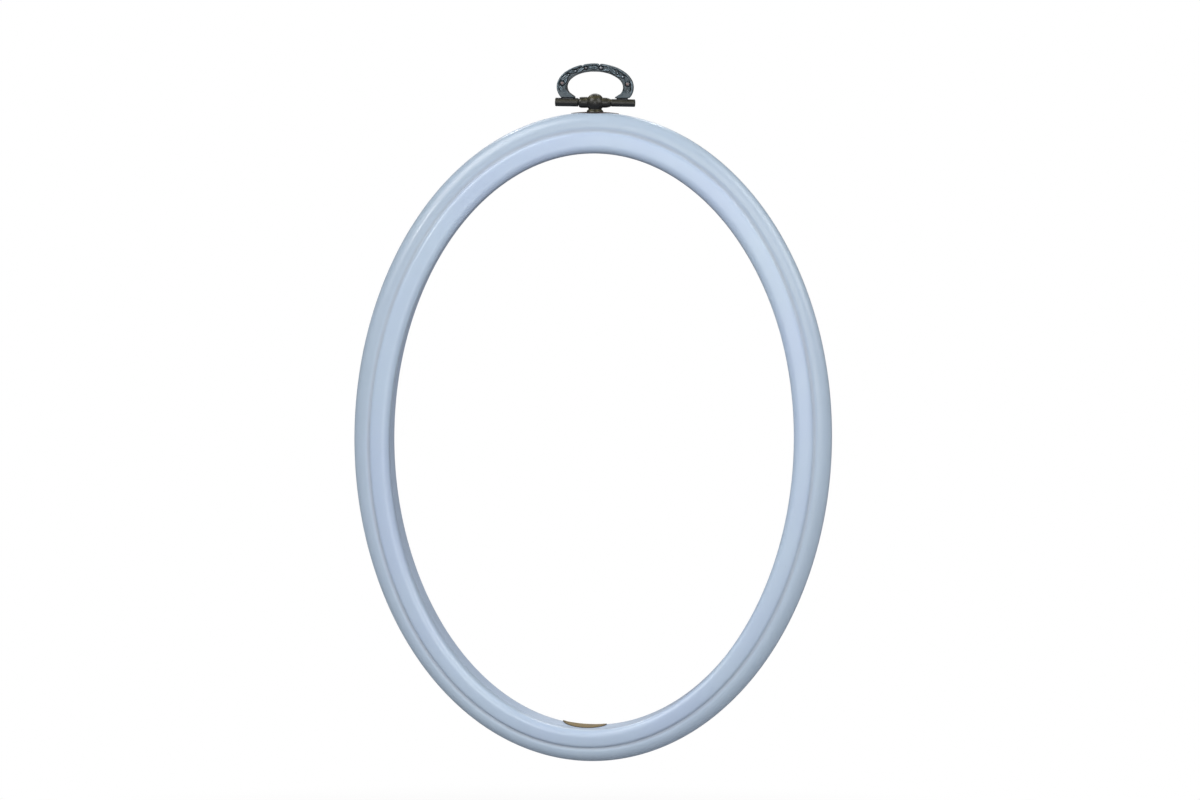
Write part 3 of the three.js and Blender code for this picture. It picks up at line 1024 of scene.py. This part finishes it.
# The ground of the relief, under the full face of the loop, and the heights over it and the
# depths of the leaves' veins and of the moats round the berries
GROUND = -0.44
OUTER_RIM = 0.38
INNER_RIM = 0.26
LEAF = 0.44
VEIN = 0.16
BERRY = 0.5
MOAT = 0.2


def on_band(hanger, degrees):
    """Place on the middle of the loop's band in mm, and the ways along it and outwards."""
    wide = (hanger.loop_half_width - hanger.side_band / 2) / MM
    high = (hanger.loop_rise - hanger.top_band / 2) / MM
    turn = math.radians(degrees)
    way = np.array([-wide * math.sin(turn), high * math.cos(turn)])
    way /= np.hypot(*way)
    return np.array([wide * math.cos(turn), high * math.sin(turn)]), way, np.array([way[1], -way[0]])


def leaf_height(across, up, centre, way, long, half):
    """Height of one veined leaf over the ground of the relief, or 0 outside it."""
    out = np.array([way[1], -way[0]])
    along = (across - centre[0]) * way[0] + (up - centre[1]) * way[1]
    off = (across - centre[0]) * out[0] + (up - centre[1]) * out[1]
    part = along / long
    width = half * np.clip(1 - part**2, 1e-4, 1) ** 0.8 * (1 - 0.3 * part)
    inside = np.where(np.abs(part) < 1, np.clip(1 - (off / width) ** 2, 0, 1), 0)
    vein = VEIN * np.exp(-((off / 0.12) ** 2)) * (np.abs(part) < 0.8)
    return np.where(inside > 0, LEAF * inside**0.45 - vein, 0)


def loop_relief(hanger, across, up):
    """Height of the tooled face over the full one, and where the berries and the nicks are.

    Takes places in millimetres from the loop's centre.
    """
    wide, high = hanger.loop_half_width / MM, hanger.loop_rise / MM
    side, top = hanger.side_band / MM, hanger.top_band / MM
    mid_wide, mid_high = wide - side / 2, high - top / 2
    turn = np.arctan2(up / mid_high, across / mid_wide)
    inner = np.hypot(across / (wide - side), up / (high - top)) - 1
    outer = 1 - np.hypot(across / wide, up / high)
    place = np.clip(inner / (inner + outer), 0, 1)
    band = side * np.cos(turn) ** 2 + top * np.sin(turn) ** 2
    from_inside, from_outside = place * band, (1 - place) * band

    scallop = 0.06 * np.cos(turn * 18)
    outer_rim = 1 - smoothstep(0.28 + scallop, 0.52 + scallop, from_outside)
    inner_rim = 1 - smoothstep(0.15, 0.4, from_inside)
    face = GROUND + np.maximum(OUTER_RIM * outer_rim, INNER_RIM * inner_rim)

    for degrees, tilt, long, half, shift in LEAVES:
        centre, way, out = on_band(hanger, degrees)
        lean = math.radians(tilt)
        leaf_way = way * math.cos(lean) + out * math.sin(lean)
        leaf = leaf_height(across, up, centre + out * shift, leaf_way, long, half)
        face = np.maximum(face, GROUND + leaf)

    berry = np.zeros_like(across)
    for degrees, size in BERRIES:
        centre = on_band(hanger, degrees)[0]
        gap = np.hypot(across - centre[0], up - centre[1]) / size
        face -= MOAT * np.exp(-(((gap - 1.15) / 0.22) ** 2))
        dome = np.sqrt(np.clip(1 - gap**2, 0, 1))
        face = np.where(gap < 1, np.maximum(face, GROUND + BERRY * dome), face)
        berry = np.maximum(berry, smoothstep(0.95, 0.4, gap) * min(1, (size / 0.62) ** 2))

    nick = np.zeros_like(across)
    for degrees in NICKS:
        gap = np.abs(turn - math.radians(degrees)) * mid_wide
        nick = np.maximum(nick, np.exp(-((gap / 0.28) ** 2)))
    return face, berry, nick * smoothstep(0.6, 1, place)


def loop_arch(hanger, middle, sole):
    """Oval band of the loop, cut off level where its feet stand on the rods."""
    half, edge, blank = hanger.loop_depth / 2, 0.35 * MM, 10 * MM
    inner_wide = hanger.loop_half_width - hanger.side_band
    inner_high = hanger.loop_rise - hanger.top_band
    section = fillet([(0, -half, edge), (blank, -half, edge), (blank, half, edge), (0, half, edge)])
    piece, across, up, out, depth = spun_ring("arch", section, 120)
    angle, part = np.arctan2(up, across), out / blank
    across = np.cos(angle) * (inner_wide + hanger.side_band * part)
    height = middle + np.sin(angle) * (inner_high + hanger.top_band * part)
    place_points(piece, np.stack([across, depth, height], axis=1))
    take(piece)
    edit_all()
    bpy.ops.mesh.bisect(plane_co=(0, 0, sole), plane_no=(0, 0, 1), use_fill=True, clear_inner=True)
    close_mesh()
    return piece


# For each side its way along X, the gap between rod and collar, and how much thicker the rod is
# than its radius says, in mm
ROD_SIDES = ((-1, 0.3, 0.13), (1, 0.08, -0.03))


def loop_side(hanger, middle, sole, way, gap, thicker):
    """Flared foot of the loop on one side, the joint under it and its rod."""
    hinge, half = -hanger.hinge_drop, hanger.loop_depth / 2
    inner = hanger.loop_half_width - hanger.side_band
    toe = inner - 2.6 * MM
    heel = hanger.loop_half_width * math.cos(math.asin((middle - sole) / hanger.loop_rise))
    flare = [
        (toe, sole),
        (toe + 0.25 * MM, sole + 0.35 * MM),
        (inner - 0.65 * MM, sole + 1.5 * MM),
        (inner + 0.2 * MM, sole + 2.2 * MM),
        (heel - 0.3 * MM, sole + 0.6 * MM),
        (heel - 0.2 * MM, sole),
    ]
    foot = extruded("foot", [(way * far, level) for far, level in flare], -half, half, "Y")
    modify(foot, "BEVEL", width=0.25 * MM, segments=2, limit_method="ANGLE")
    near, far = way * (toe + 0.6 * MM), way * (heel - 0.5 * MM)
    low, high, flat = hinge + MM, sole + 0.3 * MM, 0.9 * MM
    joint = extruded("joint", [(near, low), (far, low), (far, high), (near, high)], -flat, flat, "Y")
    radius, start = hanger.rod_radius + thicker * MM, hanger.collar_reach + gap * MM
    bore, reach, edge = hanger.bore_radius, hanger.rod_reach, 0.12 * MM
    tube = fillet([(bore, start, 0), (radius, start, edge), (radius, reach, edge), (bore, reach, 0)])
    return [foot, joint, turned("rod", tube, 48, (way, 0, 0), (0, 0, hinge))]


def tool_loop(piece, hanger, middle, sole):
    """Presses the relief into the loop's face, makes the casting uneven and stores its wear, with
    painted shade on its inner walls and in the crease over the rods.
    """
    points, normals = points_of(piece), normals_of(piece)

    def over_sole():
        return (points[:, 2] - sole) / MM

    face, berry, nick = loop_relief(hanger, points[:, 0] / MM, (points[:, 2] - middle) / MM)
    fades = smoothstep(1.4, 2.6, over_sole())
    in_front = points[:, 1] < 0.25 * MM - hanger.loop_depth / 2
    facing = smoothstep(0.3, 0.75, -normals[:, 1]) * in_front
    points[:, 1] -= face * MM * facing * fades
    inward = np.stack([-points[:, 0], 0 * points[:, 0], middle - points[:, 2]], axis=1)
    inward /= np.linalg.norm(inward, axis=1, keepdims=True)
    points += inward * (NICK_DEPTH * nick * fades)[:, None]
    above = smoothstep(0, 0.4, over_sole())
    lumps = 0.05 * grain(points, 2.2 * MM, 7) + 0.012 * grain(points, 0.7 * MM, 9)
    points += normals * (lumps * MM * above)[:, None]
    place_points(piece, points)

    level = over_sole()
    on_bar = 1 - smoothstep(-0.3, -0.1, level)
    # Painted shade on the walls that face into the loop
    inside = smoothstep(0.25, 0.7, (normals * inward).sum(axis=1)) * above
    # Painted shadow in the crease between the feet and the rods
    crease = smoothstep(-0.75, -0.45, level) * (1 - smoothstep(0.0, 0.25, level))
    metal_piece(piece, 12, on_bar, np.maximum(0.9 * inside, 0.95 * crease))
    store(piece, "berry", berry * facing * fades)
    store(piece, "bar", on_bar)


class HOOP_OT_hanger_loop(bpy.types.Operator):
    """Cast the swinging loop with its tooled leaves and berries"""

    bl_idname = "hoop.hanger_loop"
    bl_label = "Swinging loop"

    def execute(self, context):
        hanger = context.scene.hoop_hanger
        middle = -hanger.hinge_drop + hanger.loop_centre
        sole = -hanger.hinge_drop + hanger.rod_radius + SOLE_LIFT
        parts = [loop_arch(hanger, middle, sole)]
        for side in ROD_SIDES:
            parts += loop_side(hanger, middle, sole, *side)
        piece = joined("hanger_loop_casting", parts)
        modify(piece, "REMESH", mode="VOXEL", voxel_size=LOOP_VOXEL)
        modify(piece, "SMOOTH", factor=0.5, iterations=1)
        tool_loop(piece, hanger, middle, sole)
        tones = (hanger.patina, hanger.pewter, hanger.pewter_worn, hanger.copper, hanger.brass)
        material = metal_finish("aged_pewter_loop", *tones)
        finish_piece(piece, material, "loop", ["hanger_loop"], 60)
        return {"FINISHED"}


class HOOP_OT_hinge_pin(bpy.types.Operator):
    """Turn the hinge pin with its peened ends"""

    bl_idname = "hoop.hinge_pin"
    bl_label = "Hinge pin"

    def execute(self, context):
        hanger = context.scene.hoop_hanger
        radius, reach = hanger.pin_radius, hanger.rod_reach - PIN_INSET
        head = hanger.bore_radius - PIN_ROOM
        outline = fillet(
            [
                (0, -reach, 0),
                (head, -reach, 0.18 * MM),
                (head, -reach + 0.5 * MM, 0.1 * MM),
                (radius, -reach + 0.7 * MM, 0),
                (radius, reach - 0.7 * MM, 0),
                (head, reach - 0.5 * MM, 0.1 * MM),
                (head, reach, 0.18 * MM),
                (0, reach, 0),
            ]
        )
        piece = turned("peened_hinge_pin", outline, 40, (1, 0, 0), (0, 0, -hanger.hinge_drop))
        metal_piece(piece, 2)
        material = metal_finish("aged_brass_pin", hanger.patina, hanger.brass, hanger.brass_worn_and_lit)
        finish_piece(piece, material, "loop", ["hinge_pin"])
        return {"FINISHED"}


class HOOP_OT_fixing_screw(bpy.types.Operator):
    """Turn the slotted screw and cut its thread"""

    bl_idname = "hoop.fixing_screw"
    bl_label = "Fixing screw"

    def execute(self, context):
        scene = context.scene
        ring, hanger = scene.hoop_ring, scene.hoop_hanger
        seat, radius, head = seat_height(ring), hanger.screw_radius, hanger.head_radius
        bearing = seat + HEAD_HEIGHT
        tip = -hanger.hinge_drop - hanger.bore_radius - SCREW_END
        crown = [
            (0, seat, 0),
            (0.6 * head, seat + 0.1 * MM, 0.4 * MM),
            (head, seat + 0.5 * MM, 0.25 * MM),
            (head, bearing, 0.1 * MM),
        ]
        shank = [(radius, level) for level in np.arange(bearing, tip - radius, 0.05 * MM)]
        outline = fillet(crown) + shank + [(radius / 2, tip), (0, tip)]
        piece = turned("slotted_fixing_screw", outline, 36, (0, 0, 1))
        points = points_of(piece)
        around = np.arctan2(points[:, 1], points[:, 0]) / TURN
        turns = (points[:, 2] - bearing) / hanger.thread_pitch - around
        tooth = np.abs(turns - np.floor(turns) - 0.5) * 2
        runs = smoothstep(0.2, 0.6, (points[:, 2] - bearing) / MM)
        on_shank = np.hypot(points[:, 0], points[:, 1]) < radius + 0.01 * MM
        depth = THREAD_DEPTH * tooth * runs * on_shank * (points[:, 2] < tip - 0.1 * MM)
        points[:, :2] *= (1 - depth / radius)[:, None]
        place_points(piece, points)
        wide = 2 * head
        slot = [(-wide, -SLOT_HALF), (wide, -SLOT_HALF), (wide, SLOT_HALF), (-wide, SLOT_HALF)]
        cut(piece, extruded("slot", slot, seat - MM, seat + SLOT_DEPTH, "Z"))
        finish_piece(piece, screw_finish(hanger), "outer", ["fixing_screw"], 30)
        return {"FINISHED"}


# The way from the hoop to each lamp, its distance and its size in metres. The stage's settings
# hold their levels.
LAMPS = {
    "key": ((-0.62, -0.6, 0.7), 1.5, 0.9),
    "front": ((0.1, -1, 0.1), 1.6, 1.0),
    "back": ((-0.25, 1, 0.8), 1.5, 1.0),
    "side": ((0.85, -0.5, 0.6), 1.2, 0.8),
}
# Ways to the small lamps that only make glints, and their distance, size and level
SPARKS = {
    "spark_left": (-0.645, -0.719, 0.262),
    "spark_high": (-0.52, 0.46, 0.72),
    "spark_top": (0.14, 0.6, 0.85),
}
SPARK = (2.0, 0.12, 0.12)
# The photograph's width and height in pixels, and where it has the opening's centre
PICTURE = (1200, 800)
OPENING_SEEN = (593.36, 440.6)
SENSOR_WIDTH = 36
FLOOR_SIZE = 12
FLOOR_BACK = 2
# Distances from the origin between which the floor turns into the backdrop
FLOOR_FADES = (0.4, 0.56)


class HOOP_OT_stage(bpy.types.Operator):
    """Set up the pale floor, the soft light and the camera"""

    bl_idname = "hoop.stage"
    bl_label = "Stage"

    def execute(self, context):
        scene = context.scene
        ring, stage = scene.hoop_ring, scene.hoop_stage
        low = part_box("outer_ring")[0]
        deselect()
        bpy.ops.mesh.primitive_plane_add(size=FLOOR_SIZE, location=(0, 0, 0))
        floor = added("pale_floor")
        floor.data.transform(Matrix.Translation((0, FLOOR_BACK, low.z - stage.floor_drop)))
        floor.data.materials.append(floor_finish(stage))

        middle = Vector(hoop_centre(ring))
        for name, (way, distance, size) in LAMPS.items():
            lamp(name, middle, way, distance, size, getattr(stage, f"{name}_light"))
        for name, way in SPARKS.items():
            lamp(name, middle, way, *SPARK).visible_diffuse = False
        lit_world(scene, stage)
        self.add_camera(scene, middle + Vector((0, ring.depth / 2, 0)), stage)
        scene.view_settings.view_transform = "Standard"
        return {"FINISHED"}

    def add_camera(self, scene, target, stage):
        """Aims the camera so that the opening's centre falls where the photograph has it."""
        turn, rise = stage.azimuth, stage.elevation
        level = Vector((math.cos(turn), math.sin(turn), 0))
        ahead = Vector((math.sin(turn), -math.cos(turn), 0))
        away = ahead * math.cos(rise) + Vector((0, 0, math.sin(rise)))
        right = level * math.cos(stage.roll) - level.cross(away) * math.sin(stage.roll)
        up = right.cross(-away)
        pixel = stage.millimetres_per_pixel * MM
        left_by = PICTURE[0] / 2 - OPENING_SEEN[0]
        low_by = OPENING_SEEN[1] - PICTURE[1] / 2
        aim = target + right * left_by * pixel + up * low_by * pixel
        bpy.ops.object.camera_add(location=aim + away * stage.distance)
        camera = bpy.context.object
        camera.name = "view"
        camera.rotation_euler = Matrix((right, up, away)).transposed().to_euler()
        camera.data.sensor_width = SENSOR_WIDTH
        camera.data.lens = SENSOR_WIDTH * stage.distance / (PICTURE[0] * pixel)
        camera.data.clip_start = 0.01
        scene.camera = camera


def lamp(name, target, way, distance, size, level):
    """A square lamp that lights a face turned to it at the given level."""
    way = Vector(way).normalized()
    bpy.ops.object.light_add(type="AREA", location=target + way * distance)
    made = bpy.context.object
    made.name = name
    made.rotation_euler = (-way).to_track_quat("-Z", "Y").to_euler()
    made.data.size = size
    made.data.energy = level * math.pi**2 * distance**2
    return made


def seen_directly(maker):
    """1 for camera and glass rays, 0 for light that falls on the object."""
    kinds = ("Is Camera Ray", "Is Transmission Ray")
    camera, glass = (maker.node("LightPath", None, None, kind) for kind in kinds)
    return camera.math("MAXIMUM", camera, glass)


def lit_world(scene, stage):
    """White surroundings to the eye, which light the hoop much less."""
    world = bpy.data.worlds.new("pale_surroundings")
    scene.world = world
    maker = Nodes(world)
    direct = seen_directly(maker)
    strength = stage.world_light + direct * (1 - stage.world_light)
    background = maker.node("Background", None, {"Color": (1, 1, 1, 1), "Strength": strength})
    maker.node("OutputWorld", None, {"Surface": background})


def floor_finish(stage):
    """Pale floor that keeps the object's shadow and turns into the white backdrop."""
    finish = Finish("pale_floor")
    direct = seen_directly(finish)
    pale = finish.mix(finish.grain(300, 2) * 0.2, stage.floor, (0.8, 0.8, 0.8))
    base = finish.mix(direct, stage.floor_bounce, pale)
    lit = finish.node("BsdfDiffuse", None, {"Color": base})
    white = finish.node("Emission", None, {"Color": (1, 1, 1, 1), "Strength": 1.0})
    away = finish.node("VectorMath", {"operation": "LENGTH"}, {0: finish.place}, 1)
    far = away.rise(*FLOOR_FADES) * direct
    shown = finish.node("MixShader", None, {0: far, 1: lit, 2: white})
    finish.node("OutputMaterial", None, {"Surface": shown})
    return finish.material


class HOOP_PT_sidebar(bpy.types.Panel):
    """Sizes, colours and pieces of the hoop"""

    bl_idname = "HOOP_PT_sidebar"
    bl_label = "Embroidery hoop"
    bl_space_type = "VIEW_3D"
    bl_region_type = "UI"
    bl_category = "Hoop"

    def draw(self, context):
        for operator in PIECES:
            self.layout.operator(operator.bl_idname)
        for name, group in GROUPS.items():
            box = self.layout.box()
            for setting in group.__annotations__:
                box.prop(getattr(context.scene, name), setting)


GROUPS = {
    "hoop_ring": HoopRingSettings,
    "hoop_hanger": HoopHangerSettings,
    "hoop_label": HoopLabelSettings,
    "hoop_stage": HoopStageSettings,
}
PIECES = (
    HOOP_OT_outer_ring,
    HOOP_OT_inner_ring,
    HOOP_OT_foil_label,
    HOOP_OT_hanger_saddle,
    HOOP_OT_hanger_hub,
    HOOP_OT_hinge_pin,
    HOOP_OT_hanger_loop,
    HOOP_OT_fixing_screw,
    HOOP_OT_stage,
)


def register():
    for item in (*GROUPS.values(), *PIECES, HOOP_PT_sidebar):
        bpy.utils.register_class(item)
    for name, group in GROUPS.items():
        setattr(bpy.types.Scene, name, PointerProperty(type=group))


def unregister():
    for name in GROUPS:
        delattr(bpy.types.Scene, name)
    for item in (HOOP_PT_sidebar, *reversed(PIECES), *GROUPS.values()):
        bpy.utils.unregister_class(item)


def main():
    register()
    bpy.ops.hoop.outer_ring()
    bpy.ops.hoop.inner_ring()
    bpy.ops.hoop.foil_label()
    bpy.ops.hoop.hanger_saddle()
    bpy.ops.hoop.hanger_hub()
    bpy.ops.hoop.hinge_pin()
    bpy.ops.hoop.hanger_loop()
    bpy.ops.hoop.fixing_screw()
    bpy.ops.hoop.stage()


if __name__ == "__main__":
    main()
